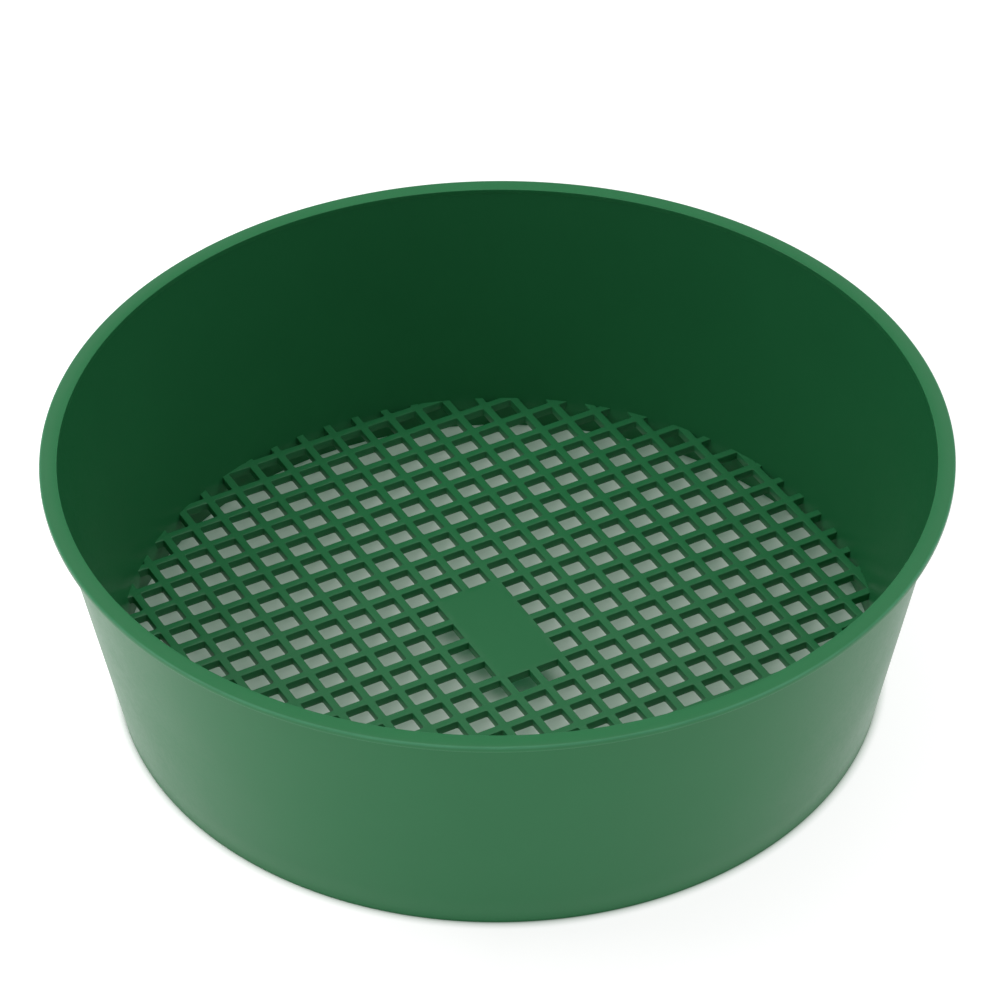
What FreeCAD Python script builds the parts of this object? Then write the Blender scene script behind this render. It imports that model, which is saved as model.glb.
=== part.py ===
"""Round garden riddle: a tapered tub wall with a turned-out rim and a raised square mesh floor.

The real riddle is one injection moulding in polypropylene. Each moulded feature is a solid of its
own here, and neighbours meet face to face: the rim flange stands on the side wall, the side wall on
the foot skirt, the ribs end on the inner face of the skirt, and the label plate lies in the ribs.

Frame: millimetres, +Z up. The origin is on the surface the riddle stands on, at the middle of the
foot ring. +X runs along the long side of the label plate and along the long ribs.
"""

import FreeCAD, Part
import math
import os

# Driving dimensions
RIM_RADIUS = 185.0          # outside of the rim flange: a 370 mm, or 14.5 in, riddle
HEIGHT = 115.0              # from the foot ring to the top of the rim
WALL_AT_TOP = 2.9           # wall thickness under the flange, measured along the radius
WALL_AT_MESH = 4.0          # and at the top of the mesh: the inside tapers more than the outside
WALL_AT_FOOT = 1.6          # and at the foot: the space under the mesh opens downwards
WALL_TOP_RADIUS = 180.7     # outside of the wall, directly under the flange
FOOT_RADIUS = 159.8         # outside of the wall at the foot
FLANGE = 2.4                # thickness of the rim flange
FLANGE_ROUND = 0.8          # rounding of the flange's outer edge on top
UNDER_ROUND = 0.4           # and of its outer edge below
EDGE_ROUND = 0.3            # rounding of the rim's inner edge and of the foot's two edges
MESH_TOP = 15.0             # height of the rib tops above the foot
PITCH = 13.7                # spacing of the ribs, the same both ways
RIB_WIDTH = 3.5
RIB_DEPTH = 3.8
PLATE_CELLS = (4, 2)        # mesh cells that the label plate covers, along X and along Y
PLATE = 1.8                 # thickness of the label plate

# Values that follow from them
FLANGE_UNDERSIDE = HEIGHT - FLANGE
MESH_BOTTOM = MESH_TOP - RIB_DEPTH
PLATE_BOTTOM = MESH_TOP - PLATE
LAP_HEIGHT = (MESH_BOTTOM + PLATE_BOTTOM) / 2    # crossing ribs share their depth at this height
WALL_SLOPE = (WALL_TOP_RADIUS - FOOT_RADIUS) / FLANGE_UNDERSIDE
INNER_MESH_RADIUS = FOOT_RADIUS + WALL_SLOPE * MESH_TOP - WALL_AT_MESH
INNER_TOP_RADIUS = WALL_TOP_RADIUS - WALL_AT_TOP
INNER_SLOPE = (INNER_TOP_RADIUS - INNER_MESH_RADIUS) / (FLANGE_UNDERSIDE - MESH_TOP)
RIBS_EACH_SIDE = math.floor(INNER_MESH_RADIUS / PITCH)    # ribs on each side of the middle one
PAST = 1.0                  # how far a cutting body runs past the face that it cuts


def wall_radius(height):
    """Outside radius of the tapered wall at a height above the foot."""
    return FOOT_RADIUS + WALL_SLOPE * height


def inner_radius(height):
    """Inside radius of the tapered wall at a height above the foot, down to the mesh's underside."""
    return INNER_MESH_RADIUS + INNER_SLOPE * (height - MESH_TOP)


def ring(corners, rounds=None):
    """Solid of revolution about Z, from (radius, height) corners and a rounding for some of them."""
    points = [FreeCAD.Vector(radius, 0, height) for radius, height in corners]
    face = Part.Face(Part.makePolygon(points + points[:1]))
    solid = face.revolve(FreeCAD.Vector(0, 0, 0), FreeCAD.Vector(0, 0, 1), 360)
    for corner, radius in (rounds or {}).items():
        corner_radius, corner_height = corners[corner]
        edges = [edge for edge in solid.Edges
                 if isinstance(edge.Curve, Part.Circle)
                 and abs(edge.Curve.Radius - corner_radius) < 0.01
                 and abs(edge.Curve.Center.z - corner_height) < 0.01]
        solid = solid.makeFillet(radius, edges)
    return solid


def rim_flange():
    """Flat ring turned out over the top of the wall, with rounded edges.

    Its underside is two faces: one seated on the wall, and one that hangs free outside it.
    """
    corners = [
        (inner_radius(FLANGE_UNDERSIDE), FLANGE_UNDERSIDE),
        (WALL_TOP_RADIUS, FLANGE_UNDERSIDE),
        (RIM_RADIUS, FLANGE_UNDERSIDE),
        (RIM_RADIUS, HEIGHT),
        (inner_radius(FLANGE_UNDERSIDE), HEIGHT),
    ]
    return ring(corners, {2: UNDER_ROUND, 3: FLANGE_ROUND, 4: EDGE_ROUND})


def side_wall():
    """Tapered wall from the top of the mesh up to the flange."""
    corners = [
        (inner_radius(MESH_TOP), MESH_TOP),
        (wall_radius(MESH_TOP), MESH_TOP),
        (wall_radius(FLANGE_UNDERSIDE), FLANGE_UNDERSIDE),
        (inner_radius(FLANGE_UNDERSIDE), FLANGE_UNDERSIDE),
    ]
    return ring(corners)


def foot_skirt():
    """Lowest band of the wall, which carries the mesh and stands on the ground."""
    corners = [
        (FOOT_RADIUS - WALL_AT_FOOT, 0),
        (FOOT_RADIUS, 0),
        (wall_radius(MESH_TOP), MESH_TOP),
        (inner_radius(MESH_TOP), MESH_TOP),
        (inner_radius(MESH_BOTTOM), MESH_BOTTOM),
    ]
    return ring(corners, {0: EDGE_ROUND, 1: EDGE_ROUND})


def plate_size():
    """Length and width of the label plate, out to the far sides of the ribs that border it."""
    return tuple(cells * PITCH + RIB_WIDTH for cells in PLATE_CELLS)


def block(length, width, bottom, top, x=0.0, y=0.0):
    """Box centred on (x, y) between two heights."""
    corner = FreeCAD.Vector(x - length / 2, y - width / 2, bottom)
    return Part.makeBox(length, width, top - bottom, corner)


def label_plate():
    """Plain plate in the middle of the mesh, flush with the rib tops."""
    length, width = plate_size()
    return block(length, width, PLATE_BOTTOM, MESH_TOP)


def rib_places():
    """Distances of the parallel ribs from the middle of the riddle."""
    return [PITCH * step for step in range(-RIBS_EACH_SIDE, RIBS_EACH_SIDE + 1)]


def wall_bore():
    """The space inside the wall at the mesh: what lies outside it is cut off a rib."""
    corners = [
        (0, MESH_BOTTOM - PAST),
        (inner_radius(MESH_BOTTOM - PAST), MESH_BOTTOM - PAST),
        (inner_radius(MESH_TOP + PAST), MESH_TOP + PAST),
        (0, MESH_TOP + PAST),
    ]
    return ring(corners)


def rib(place, lap_bottom, lap_top, bore):
    """Rib along X at y = place, with a notch between two heights wherever another rib crosses it.

    A notch that runs into the wall can leave a crumb beyond it, so only the rib itself is kept.
    """
    bar = block(2 * RIM_RADIUS, RIB_WIDTH, MESH_BOTTOM, MESH_TOP, y=place)
    notches = [block(RIB_WIDTH, RIB_WIDTH + 2 * PAST, lap_bottom, lap_top, crossing, place)
               for crossing in rib_places()]
    pieces = bar.cut(notches).common(bore).Solids
    return max(pieces, key=lambda piece: piece.Volume)


def mesh_ribs():
    """Every rib of the mesh by node name. The long ribs pass over the cross ribs, half lapped."""
    bore = wall_bore()
    plate = label_plate()
    ribs = {}
    for number, place in enumerate(rib_places(), start=1):
        long_rib = rib(place, MESH_BOTTOM - PAST, LAP_HEIGHT, bore)
        cross_rib = rib(place, LAP_HEIGHT, MESH_TOP + PAST, bore)
        cross_rib.rotate(FreeCAD.Vector(0, 0, 0), FreeCAD.Vector(0, 0, 1), -90)
        ribs[f"long_rib_{number:02d}"] = long_rib.cut(plate)
        ribs[f"cross_rib_{number:02d}"] = cross_rib.cut(plate)
    return ribs


def write_part(node, shape):
    """Write one node, which is always a single closed solid."""
    solid = shape.Solids[0]
    if len(shape.Solids) != 1 or not solid.isValid():
        raise ValueError(f"{node} is not one valid solid")
    solid.exportStep(f"parts/{node}.step")


os.makedirs("parts", exist_ok=True)
write_part("rim_flange", rim_flange())
write_part("side_wall", side_wall())
write_part("foot_skirt", foot_skirt())
write_part("label_plate", label_plate())
for name, shape in mesh_ribs().items():
    write_part(name, shape)
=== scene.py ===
"""Looks of a round garden riddle, one green polypropylene moulding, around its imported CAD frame.

Metres, +Z up, origin on the ground at the middle of the foot ring, as in the frame. The moulding
is built as a rim, a wall, a skirt, a mesh and a label plate, which meet without a visible seam.
"""

import math

import bmesh
import bpy
from mathutils import Matrix, Vector


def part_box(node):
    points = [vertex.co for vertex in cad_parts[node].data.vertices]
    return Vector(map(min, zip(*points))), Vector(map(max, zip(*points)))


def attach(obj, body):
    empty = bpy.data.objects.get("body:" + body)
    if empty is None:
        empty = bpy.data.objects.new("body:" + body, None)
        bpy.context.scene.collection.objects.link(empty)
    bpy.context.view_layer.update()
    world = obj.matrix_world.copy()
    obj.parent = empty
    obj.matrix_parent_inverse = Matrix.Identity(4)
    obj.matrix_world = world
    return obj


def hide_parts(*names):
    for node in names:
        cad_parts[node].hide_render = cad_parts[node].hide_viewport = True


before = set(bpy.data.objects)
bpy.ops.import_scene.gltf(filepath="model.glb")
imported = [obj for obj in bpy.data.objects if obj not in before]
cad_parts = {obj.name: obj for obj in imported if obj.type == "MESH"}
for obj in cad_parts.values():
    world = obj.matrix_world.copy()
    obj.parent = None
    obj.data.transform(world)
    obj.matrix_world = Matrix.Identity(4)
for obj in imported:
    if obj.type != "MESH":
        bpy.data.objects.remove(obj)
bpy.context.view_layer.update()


# Sizes read from the frame -----------------------------------------------------------------------

def node_names(start):
    """Names of the CAD nodes that begin with a word, in order."""
    return sorted(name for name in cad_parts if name.startswith(start))


def size_of(node):
    """Length of a CAD node along X, Y and Z."""
    low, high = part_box(node)
    return high - low


LONG_RIBS = node_names("long_rib_")
CROSS_RIBS = node_names("cross_rib_")
MIDDLE_RIB = LONG_RIBS[len(LONG_RIBS) // 2]
FLANGE_LOW, FLANGE_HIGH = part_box("rim_flange")
WALL_LOW, WALL_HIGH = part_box("side_wall")
SKIRT_LOW, SKIRT_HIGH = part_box("foot_skirt")
PLATE_LOW, PLATE_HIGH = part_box("label_plate")

RIM_RADIUS = FLANGE_HIGH.x
HEIGHT = FLANGE_HIGH.z
FLANGE_UNDERSIDE = FLANGE_LOW.z
MESH_TOP = SKIRT_HIGH.z
WALL_SLOPE = (WALL_HIGH.x - SKIRT_HIGH.x) / (FLANGE_UNDERSIDE - MESH_TOP)
FOOT_RADIUS = SKIRT_HIGH.x - WALL_SLOPE * MESH_TOP
MESH_RADIUS = size_of(MIDDLE_RIB).x / 2
RIB_WIDTH = size_of(MIDDLE_RIB).y
RIB_DEPTH = size_of(MIDDLE_RIB).z
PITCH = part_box(LONG_RIBS[1])[0].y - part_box(LONG_RIBS[0])[0].y
MESH_BOTTOM = MESH_TOP - RIB_DEPTH


# Sizes of the mouldings' small features ----------------------------------------------------------

RING_STEPS = 288                # facets round every ring
WALL_AT_TOP = 0.0029            # wall thickness under the flange
WALL_AT_FOOT = 0.0016           # and at the foot: the space under the mesh opens downwards
FLANGE_ROUND = 0.0008           # the flange's outer edge on top
UNDER_ROUND = 0.0004            # and its outer edge below
EDGE_ROUND = 0.0003             # the rim's inner edge and the foot's edges
APERTURE_ROUND = 0.0007         # upright corners of the mesh apertures
RIB_EDGE_ROUND = 0.0003         # long edges of the ribs and of the plate
RIB_ENTRY = 0.0008              # how far the ribs run into the wall
TINY = 0.00002                  # two places nearer than this are the same
MERGE = TINY / 10               # vertices nearer than this are joined
RING_ROUND_FACETS = 4           # facets across a rounded edge of a ring
APERTURE_ROUND_FACETS = 3       # across a rounded corner of an aperture
RIB_ROUND_FACETS = 2            # across a rounded edge of a rib
HARD_EDGE = math.radians(35)    # faces that meet at a wider angle show a crease
CORNER_ANGLE = math.radians(60)   # edges wider than this are corners, not facets of a curve
GREEN = (0.023, 0.185, 0.065)   # the pigment


def wall_radius(height):
    """Outside radius of the tapered wall at a height above the ground."""
    return FOOT_RADIUS + WALL_SLOPE * height


def inner_radius(height):
    """Inside radius of the wall above the mesh's underside, where it tapers more than outside."""
    slope = (WALL_HIGH.x - WALL_AT_TOP - MESH_RADIUS) / (FLANGE_UNDERSIDE - MESH_TOP)
    return MESH_RADIUS + slope * (height - MESH_TOP)


# Materials ---------------------------------------------------------------------------------------

class Term:
    """An output of a material's node, which adds Math nodes when it is used in an expression."""

    def __init__(self, finish, socket):
        self.finish = finish
        self.socket = socket

    def __add__(self, other):
        return self.finish.math("ADD", self, other)

    def __sub__(self, other):
        return self.finish.math("SUBTRACT", self, other)

    def __rsub__(self, other):
        return self.finish.math("SUBTRACT", other, self)

    def __mul__(self, other):
        return self.finish.math("MULTIPLY", self, other)

    def __truediv__(self, other):
        return self.finish.math("DIVIDE", self, other)

    __radd__ = __add__
    __rmul__ = __mul__

    def clamped(self):
        """The value held between 0 and 1."""
        return self.finish.math("ADD", self, 0.0, clamp=True)


class Finish:
    """A material under construction: its node tree, and one method that adds any node to it."""

    def __init__(self, name):
        self.material = bpy.data.materials.new(name)
        self.material.use_nodes = True
        self.tree = self.material.node_tree
        self.tree.nodes.clear()

    def node(self, kind, settings=None, inputs=None, output=0):
        """Add a node, set it up, and feed its sockets with numbers or terms. Returns one output."""
        made = self.tree.nodes.new(kind)
        for name, value in (settings or {}).items():
            if name == "stops":
                self.set_stops(made.color_ramp, value)
            else:
                setattr(made, name, value)
        for name, value in (inputs or {}).items():
            if isinstance(value, Term):
                self.tree.links.new(value.socket, made.inputs[name])
            else:
                made.inputs[name].default_value = value
        return Term(self, made.outputs[output])

    @staticmethod
    def set_stops(ramp, stops):
        """Give a colour ramp its (place, grey level) stops, of which it starts with two."""
        while len(ramp.elements) < len(stops):
            ramp.elements.new(1.0)
        for element, (place, level) in zip(ramp.elements, stops):
            element.position = place
            element.color = (level, level, level, 1.0)

    def math(self, operation, first, second, clamp=False):
        """Arithmetic on two values."""
        settings = {"operation": operation, "use_clamp": clamp}
        return self.node("ShaderNodeMath", settings, {0: first, 1: second})

    def blend(self, share, first, second):
        """Colour between two colours by a share. The numbers are the Mix node's colour sockets."""
        return self.node("ShaderNodeMix", {"data_type": "RGBA"}, {0: share, 6: first, 7: second}, 2)

    def noise(self, place, pattern):
        """Grey noise, about 0.5 on average, from a pattern's scale, detail and roughness."""
        scale, detail, roughness = pattern
        inputs = {"Vector": place, "Scale": scale, "Detail": detail, "Roughness": roughness}
        return self.node("ShaderNodeTexNoise", None, inputs)

    def ramp(self, value, *stops):
        """Value remapped by a ramp of grey stops."""
        return self.node("ShaderNodeValToRGB", {"stops": stops}, {"Fac": value})

    def surface(self, shader):
        """Make a shader term the material's surface."""
        output = self.tree.nodes.new("ShaderNodeOutputMaterial")
        self.tree.links.new(shader.socket, output.inputs["Surface"])
        return self.material


def colour(rgb, brightness=1.0):
    """Opaque colour for a socket, brightened or darkened."""
    return (*(channel * brightness for channel in rgb), 1.0)


def near_circle(finish, place, radius, height, reach):
    """1 on a level circle round the riddle, and 0 at a distance of reach from it and beyond."""
    level = finish.node("ShaderNodeVectorMath", {"operation": "MULTIPLY"},
                        {0: place, 1: (1.0, 1.0, 0.0)})
    across = finish.node("ShaderNodeVectorMath", {"operation": "LENGTH"}, {0: level}, 1) - radius
    up = finish.node("ShaderNodeSeparateXYZ", None, {"Vector": place}, 2) - height
    distance = finish.math("POWER", across * across + up * up, 0.5)
    return (1.0 - distance / reach).clamped()


# Noise patterns of the plastic: features per metre, detail, roughness
MOTTLE = (22.0, 3.0, 0.55)          # broad unevenness of the pigment
SPECKLE = (420.0, 2.0, 0.6)         # fine unevenness of the pigment
FLOW = (60.0, 2.0, 0.5)             # flow marks, which FLOW_STRETCH draws out up the wall
SCUFF = (95.0, 5.0, 0.7)            # single scuffs
HANDLED = (14.0, 2.0, 0.5)          # the places where there are scuffs
TOOL_GRAIN = (1700.0, 2.0, 0.5)     # texture of the mould
SINKING = (26.0, 1.0, 0.4)          # slow waves where the plastic shrank

FLOW_STRETCH = (1.0, 1.0, 0.12)
DARKEST = 0.86                      # the pigment varies between these shares of its colour
PALEST = 1.14
SCUFFED_GREEN = (0.06, 0.22, 0.11, 1.0)
# Colour of the painted highlight on the rim's rounded outer edge
EDGE_HIGHLIGHT_GREEN = (0.10, 0.38, 0.20, 1.0)
ROUGHNESS = 0.33
REFRACTION = 1.49


def polypropylene(name, grain, scuffs, gloss, painted_lightness=1.0, edge_highlight=False):
    """Green moulded polypropylene: satin, finely textured, with faint flow marks and light scuffs.

    grain is the depth of the fine tool texture, scuffs the strength of handling marks, and gloss
    the strength of the surface reflection. painted_lightness brightens the whole pigment as painted
    light, for a surface that the lamps light most, and edge_highlight paints a pale highlight
    along the rim's rounded outer edge.
    """
    finish = Finish(name)
    place = finish.node("ShaderNodeTexCoord", output=3)

    mottle = finish.noise(place, MOTTLE)
    speckle = finish.noise(place, SPECKLE)
    tone = (mottle - 0.5) * 0.30 + (speckle - 0.5) * 0.12 + 0.5

    stretched = finish.node("ShaderNodeMapping", None, {"Vector": place, "Scale": FLOW_STRETCH})
    tone = tone + (finish.noise(stretched, FLOW) - 0.5) * 0.10

    scuffed = finish.ramp(finish.noise(place, SCUFF), (0.56, 0.0), (0.72, 1.0))
    scuffed = scuffed * finish.ramp(finish.noise(place, HANDLED), (0.45, 0.0), (0.65, 1.0))
    scuffed = scuffed * scuffs

    # A share above 1 here is painted light: the whole pigment is made paler, as for the rim, which
    # faces the lamps.
    pigment = finish.blend(tone, colour(GREEN, DARKEST * painted_lightness), colour(GREEN, PALEST * painted_lightness))
    pigment = finish.blend(scuffed * 0.35, pigment, SCUFFED_GREEN)
    # Painted highlight: a pale band along the rim's rounded outer edge, broken up by the mottle.
    if edge_highlight:
        edge = near_circle(finish, place, RIM_RADIUS - FLANGE_ROUND * 0.3,
                           HEIGHT - FLANGE_ROUND * 0.3, FLANGE_ROUND)
        edge = edge * finish.ramp(mottle, (0.30, 0.45), (0.60, 1.0))
        pigment = finish.blend(edge, pigment, EDGE_HIGHLIGHT_GREEN)

    texture = finish.noise(place, TOOL_GRAIN) * (0.5 * grain) + scuffed * 0.3
    waves = finish.noise(place, SINKING) * 3.0
    fine = finish.node("ShaderNodeBump", None,
                       {"Strength": 0.35, "Distance": 0.00012, "Height": texture})
    normal = finish.node("ShaderNodeBump", None,
                         {"Strength": 0.25, "Distance": 0.0003, "Height": waves, "Normal": fine})

    roughness = (speckle - 0.5) * 0.10 + (mottle - 0.5) * 0.12 + scuffed * 0.12 + ROUGHNESS
    shader = finish.node("ShaderNodeBsdfPrincipled", None, {
        "Base Color": pigment,
        "Roughness": roughness,
        "Normal": normal,
        "IOR": REFRACTION,
        "Specular IOR Level": gloss,
    })
    return finish.surface(shader)


def table_white():
    """Matt white of the light table.

    It glows all round the foot, and most on the viewer's left. Under the riddle it only takes on
    the green light that comes through the walls.
    """
    finish = Finish("table_white")
    place = finish.node("ShaderNodeTexCoord", output=3)
    reach = finish.node("ShaderNodeVectorMath", {"operation": "LENGTH"}, {0: place}, 1)
    outside = ((reach - FOOT_RADIUS) / TABLE_FADE).clamped()
    aside = finish.node("ShaderNodeVectorMath", {"operation": "DOT_PRODUCT"},
                        {0: place, 1: around(1.0, 0.0, 0.0)}, 1)
    right = (aside / SIDE_REACH).clamped()
    left = (aside / -SIDE_REACH).clamped()
    glow = left * (LEFT_GLOW - FRONT_GLOW) + right * (RIGHT_GLOW - FRONT_GLOW) + FRONT_GLOW
    glow = finish.blend(finish.math("POWER", outside, FADE_SHAPE), UNDER_GLOW, glow)
    return finish.surface(finish.node("ShaderNodeBsdfPrincipled", None, {
        "Base Color": finish.blend(outside, PAPER, TABLE),
        "Roughness": 1.0,
        "Specular IOR Level": 0.0,
        "Emission Color": glow,
        "Emission Strength": 1.0,
    }))


# Making pieces -----------------------------------------------------------------------------------

def everything(bm):
    """Every vertex, edge and face of a bmesh, for the operators that want all of it."""
    return bm.verts[:] + bm.edges[:] + bm.faces[:]


def cut(bm, place, direction, trim=False):
    """Cut a bmesh along a plane, and with trim drop what lies on the side that direction points to."""
    bmesh.ops.bisect_plane(bm, geom=everything(bm), dist=MERGE, plane_co=place,
                           plane_no=direction, clear_outer=trim)


def push_down(bm, faces, depth):
    """Extrude faces downwards, as one region."""
    lowered = bmesh.ops.extrude_face_region(bm, geom=faces)["geom"]
    bmesh.ops.translate(bm, vec=(0, 0, -depth),
                        verts=[item for item in lowered if isinstance(item, bmesh.types.BMVert)])


def round_off(bm, geometry, radius, segments, affect="EDGES"):
    """Round edges, or the corners of a flat outline."""
    bmesh.ops.bevel(bm, geom=geometry, offset=radius, offset_type="OFFSET", segments=segments,
                    profile=0.5, affect=affect, clamp_overlap=True, material=-1)


def finished_piece(name, bm, material, nodes):
    """Turn a bmesh into a piece that stands for CAD nodes and moves with the riddle."""
    bmesh.ops.remove_doubles(bm, verts=bm.verts[:], dist=MERGE)
    bmesh.ops.recalc_face_normals(bm, faces=bm.faces[:])
    mesh = bpy.data.meshes.new(name)
    bm.to_mesh(mesh)
    bm.free()
    mesh.shade_smooth()
    mesh.set_sharp_from_angle(angle=HARD_EDGE)
    mesh.materials.append(material)
    piece = bpy.data.objects.new(name, mesh)
    bpy.context.scene.collection.objects.link(piece)
    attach(piece, "root")
    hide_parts(*nodes)
    return piece


def ring(name, corners, rounds, material, node):
    """Ring turned from an outline of (radius, height) corners, some of them rounded."""
    bm = bmesh.new()
    outline = [bm.verts.new((radius, 0.0, height)) for radius, height in corners]
    bm.faces.new(outline)
    for corner, radius in rounds.items():
        round_off(bm, [outline[corner]], radius, RING_ROUND_FACETS, "VERTICES")
    bmesh.ops.delete(bm, geom=bm.faces[:], context="FACES_ONLY")
    bmesh.ops.spin(bm, geom=bm.verts[:] + bm.edges[:], cent=(0, 0, 0), axis=(0, 0, 1),
                   angle=2 * math.pi, steps=RING_STEPS, use_merge=True)
    return finished_piece(name, bm, material, [node])


def rim(material):
    """Flat flange turned out over the wall, with a soft edge all round."""
    inside = inner_radius(FLANGE_UNDERSIDE)
    corners = [(inside, FLANGE_UNDERSIDE), (RIM_RADIUS, FLANGE_UNDERSIDE), (RIM_RADIUS, HEIGHT),
               (inside, HEIGHT)]
    return ring("rim", corners, {1: UNDER_ROUND, 2: FLANGE_ROUND, 3: EDGE_ROUND}, material,
                "rim_flange")


def wall(material):
    """Tapered wall from the mesh up to the flange."""
    corners = [(inner_radius(height), height) for height in (FLANGE_UNDERSIDE, MESH_TOP)]
    corners += [(wall_radius(height), height) for height in (MESH_TOP, FLANGE_UNDERSIDE)]
    return ring("wall", corners, {}, material, "side_wall")


def skirt(material):
    """Lowest band of the wall, with a soft edge where it stands on the ground."""
    corners = [(inner_radius(height), height) for height in (MESH_TOP, MESH_BOTTOM)]
    corners += [(FOOT_RADIUS - WALL_AT_FOOT, 0), (FOOT_RADIUS, 0), (wall_radius(MESH_TOP), MESH_TOP)]
    return ring("skirt", corners, {2: EDGE_ROUND, 3: EDGE_ROUND}, material, "foot_skirt")


def rib_offset(value):
    """Distance from the middle line of the nearest rib."""
    return abs(value - PITCH * round(value / PITCH))


def in_aperture(point):
    """True for a point of the mesh plane that no rib covers."""
    return min(rib_offset(point.x), rib_offset(point.y)) > RIB_WIDTH / 2


def on_plate(point, margin=0.0):
    """True for a point within the label plate's outline, grown by a margin."""
    return abs(point.x) < PLATE_HIGH.x + margin and abs(point.y) < PLATE_HIGH.y + margin


def cut_along_ribs(bm, reach):
    """Cut a bmesh along both sides of every rib that lies within reach of the middle."""
    count = int(reach / PITCH)
    for step in range(-count, count + 1):
        for side in (-RIB_WIDTH / 2, RIB_WIDTH / 2):
            place = step * PITCH + side
            cut(bm, (place, 0, 0), (1, 0, 0))
            cut(bm, (0, place, 0), (0, 1, 0))


def upright(edge):
    """True for an edge that stands straight up."""
    first, second = edge.verts
    return (first.co.xy - second.co.xy).length < TINY


def aperture_corner(edge):
    """True for the upright edge in a corner of an aperture, away from the wall and the plate."""
    place = edge.verts[0].co
    offsets = (rib_offset(place.x), rib_offset(place.y))
    return (upright(edge)
            and all(abs(offset - RIB_WIDTH / 2) < TINY for offset in offsets)
            and not on_plate(place, TINY)
            and place.xy.length < inner_radius(MESH_TOP) - APERTURE_ROUND)


def rib_edge(edge, height):
    """True for a long edge of a rib at a height, but not for one on the plate or in the wall."""
    middle = (edge.verts[0].co + edge.verts[1].co) / 2
    level = all(abs(vert.co.z - height) < TINY for vert in edge.verts)
    turns = len(edge.link_faces) == 2 and edge.calc_face_angle(0.0) > CORNER_ANGLE
    return (level and turns and not on_plate(middle, TINY)
            and middle.xy.length < inner_radius(height) + RIB_ENTRY * 0.8)


def part_ribs_at_plate(bm):
    """Give two ribs that meet only at a corner of the label plate a corner each."""
    for vert in bm.verts[:]:
        if (abs(abs(vert.co.x) - PLATE_HIGH.x) < TINY
                and abs(abs(vert.co.y) - PLATE_HIGH.y) < TINY):
            for corner in bmesh.utils.vert_separate(vert, []):
                inward = corner.link_faces[0].calc_center_median() - corner.co
                corner.co += inward.normalized() * TINY


def mesh(material):
    """Square mesh of ribs, one moulding, with soft aperture corners and soft rib edges."""
    reach = inner_radius(MESH_TOP) + RIB_ENTRY
    bm = bmesh.new()
    bmesh.ops.create_grid(bm, x_segments=1, y_segments=1, size=2 * reach,
                          matrix=Matrix.Translation((0, 0, MESH_TOP)))
    cut_along_ribs(bm, reach)
    open_faces = [face for face in bm.faces
                  if in_aperture(face.calc_center_median()) or on_plate(face.calc_center_median())]
    bmesh.ops.delete(bm, geom=open_faces, context="FACES")
    for step in range(RING_STEPS // 2):
        angle = 2 * math.pi * (step + 0.5) / (RING_STEPS // 2)
        outward = Vector((math.cos(angle), math.sin(angle), 0))
        cut(bm, outward * reach, outward, trim=True)
    part_ribs_at_plate(bm)
    push_down(bm, bm.faces[:], RIB_DEPTH)
    corners = [edge for edge in bm.edges if aperture_corner(edge)]
    round_off(bm, corners, APERTURE_ROUND, APERTURE_ROUND_FACETS)
    for height in (MESH_TOP, MESH_BOTTOM):
        edges = [edge for edge in bm.edges if rib_edge(edge, height)]
        round_off(bm, edges, RIB_EDGE_ROUND, RIB_ROUND_FACETS)
    return finished_piece("mesh", bm, material, LONG_RIBS + CROSS_RIBS)


def plate_edge(edge):
    """True for a top edge of the label plate along an aperture, but not where a rib joins it."""
    level = all(abs(vert.co.z - PLATE_HIGH.z) < TINY for vert in edge.verts)
    turns = edge.calc_face_angle(0.0) > CORNER_ANGLE
    return level and turns and edge.calc_length() > RIB_WIDTH + TINY


def plate(material):
    """Plain label plate, with the ribs that run on under it."""
    size = PLATE_HIGH - PLATE_LOW
    bm = bmesh.new()
    bmesh.ops.create_cube(bm, size=1.0)
    bmesh.ops.scale(bm, vec=size, verts=bm.verts[:])
    bmesh.ops.translate(bm, vec=(PLATE_HIGH + PLATE_LOW) / 2, verts=bm.verts[:])
    cut_along_ribs(bm, PLATE_HIGH.x)
    underside = [face for face in bm.faces
                 if abs(face.calc_center_median().z - PLATE_LOW.z) < TINY
                 and not in_aperture(face.calc_center_median())]
    push_down(bm, underside, PLATE_LOW.z - MESH_BOTTOM)
    edges = [edge for edge in bm.edges if plate_edge(edge)]
    round_off(bm, edges, RIB_EDGE_ROUND, RIB_ROUND_FACETS)
    return finished_piece("plate", bm, material, ["label_plate"])


# Stage, lights and camera ------------------------------------------------------------------------

RIM_CENTRE = Vector((0.0, 0.0, HEIGHT))
TABLE_RADIUS = 6.0
PAPER = (0.80, 0.82, 0.79, 1.0)         # the table under the riddle
TABLE = (0.35, 0.35, 0.35, 1.0)         # the table outside it, which glows as well
UNDER_GLOW = (0.005, 0.04, 0.018, 1.0)    # green light that the thin walls let through to the table
FRONT_GLOW = 0.86                       # glow of the table in front of the riddle
LEFT_GLOW = 1.12                        # and on the viewer's left of it
RIGHT_GLOW = 0.88                       # and on the viewer's right
SIDE_REACH = 0.25                       # how far from the middle the side glow is full
TABLE_FADE = 0.004                      # how far outside the foot the glow is full
FADE_SHAPE = 0.5                        # below 1, the glow rises fastest next to the foot
VIEW_TURN = math.radians(61.46)         # how far the viewer stands round from the -Y side
VIEW_RISE = math.radians(38.094)        # how far the viewer looks down
VIEW_DISTANCE = 9.399 * RIM_RADIUS
LENS = 154.50                           # millimetres
SENSOR = 36.0
SIGHT = 20.0                            # how far the camera sees
PAN, TILT, ROLL = (math.radians(angle) for angle in (0.037, 0.799, -0.486))
ROOM_LIGHT = 0.20
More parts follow.
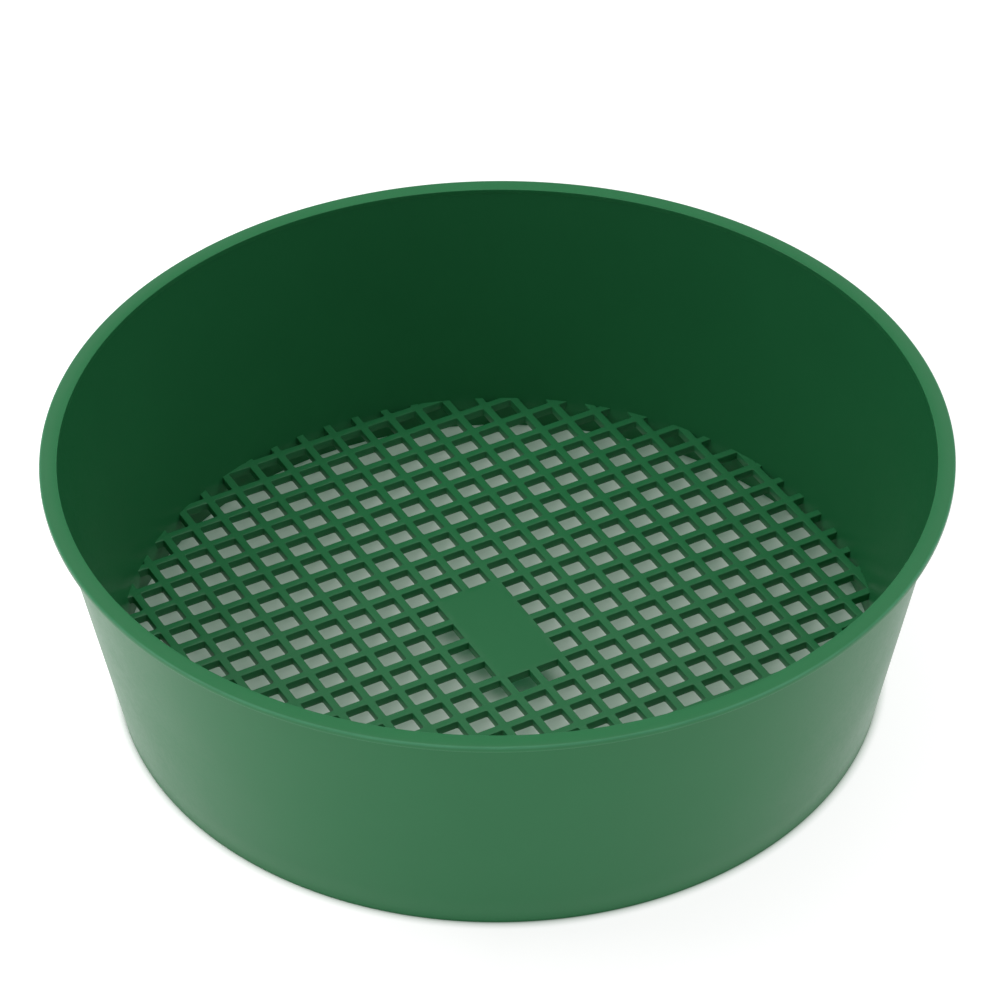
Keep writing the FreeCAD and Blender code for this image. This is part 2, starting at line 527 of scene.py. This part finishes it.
# Soft panels: where each stands to the viewer's right, away from the viewer and up, in metres,
# then its size and its watts
PANELS = {
    "overhead": ((0.0, 0.3, 2.0), 1.6, 14.5),
    "left": ((-1.6, 0.0, 1.7), 0.8, 11.5),
    "right": ((1.6, 0.0, 1.7), 0.8, 6.0),
    "back_left": ((-1.0, 3.0, 2.2), 1.2, 6.0),
    "back_right": ((1.0, 3.0, 2.2), 1.2, 5.0),
}


def around(right, back, up):
    """Point in the room as the viewer sees it: to the right, away from the viewer, and up."""
    return Matrix.Rotation(VIEW_TURN, 3, "Z") @ Vector((right, back, up))


def camera():
    """Camera that looks down at the middle of the rim, nearly centred on it."""
    made = bpy.data.cameras.new("camera")
    made.lens = LENS
    made.sensor_width = SENSOR
    made.clip_end = SIGHT
    level = VIEW_DISTANCE * math.cos(VIEW_RISE)
    place = RIM_CENTRE + around(0.0, -level, VIEW_DISTANCE * math.sin(VIEW_RISE))
    aim = (RIM_CENTRE - place).to_track_quat("-Z", "Y").to_matrix()
    aim = aim @ Matrix.Rotation(-PAN, 3, "Y") @ Matrix.Rotation(-TILT, 3, "X")
    aim = aim @ Matrix.Rotation(ROLL, 3, "Z")
    holder = bpy.data.objects.new("camera", made)
    holder.matrix_world = Matrix.Translation(place) @ aim.to_4x4()
    bpy.context.scene.collection.objects.link(holder)
    bpy.context.scene.camera = holder


def panel(name, place, size, watts):
    """Square soft light that faces the riddle."""
    lamp = bpy.data.lights.new(name, "AREA")
    lamp.shape = "SQUARE"
    lamp.size = size
    lamp.energy = watts
    holder = bpy.data.objects.new(name, lamp)
    holder.location = place
    holder.rotation_mode = "QUATERNION"
    holder.rotation_quaternion = (RIM_CENTRE - place).to_track_quat("-Z", "Y")
    bpy.context.scene.collection.objects.link(holder)


def room_light(strength):
    """Even white light from all round."""
    world = bpy.data.worlds.new("room")
    world.use_nodes = True
    background = world.node_tree.nodes["Background"]
    background.inputs["Color"].default_value = (1.0, 1.0, 1.0, 1.0)
    background.inputs["Strength"].default_value = strength
    bpy.context.scene.world = world


def stage_piece(name, bm, material):
    """Put a bmesh in the room as something that isn't part of the riddle."""
    surface = bpy.data.meshes.new(name)
    bm.to_mesh(surface)
    bm.free()
    surface.materials.append(material)
    made = bpy.data.objects.new(name, surface)
    bpy.context.scene.collection.objects.link(made)


def floor():
    """White light table larger than any view shows, which is dark where the riddle covers it."""
    table = bmesh.new()
    bmesh.ops.create_circle(table, cap_ends=True, segments=RING_STEPS, radius=TABLE_RADIUS)
    stage_piece("light_table", table, table_white())


bpy.context.scene.view_settings.view_transform = "Standard"
camera()
floor()
room_light(ROOM_LIGHT)
for name, (place, size, watts) in PANELS.items():
    panel(name, around(*place), size, watts)

outer_skin = polypropylene("wall_plastic", grain=1.0, scuffs=0.3, gloss=0.18)
# The rim's plastic is a lit copy of the same green: its pigment is painted paler and its outer edge
# has a painted highlight.
rim_skin = polypropylene("rim_plastic", grain=0.6, scuffs=0.6, gloss=0.28, painted_lightness=1.19,
                         edge_highlight=True)
mesh_skin = polypropylene("mesh_plastic", grain=0.6, scuffs=0.4, gloss=0.30)
rim(rim_skin)
wall(outer_skin)
skirt(outer_skin)
mesh(mesh_skin)
plate(mesh_skin)
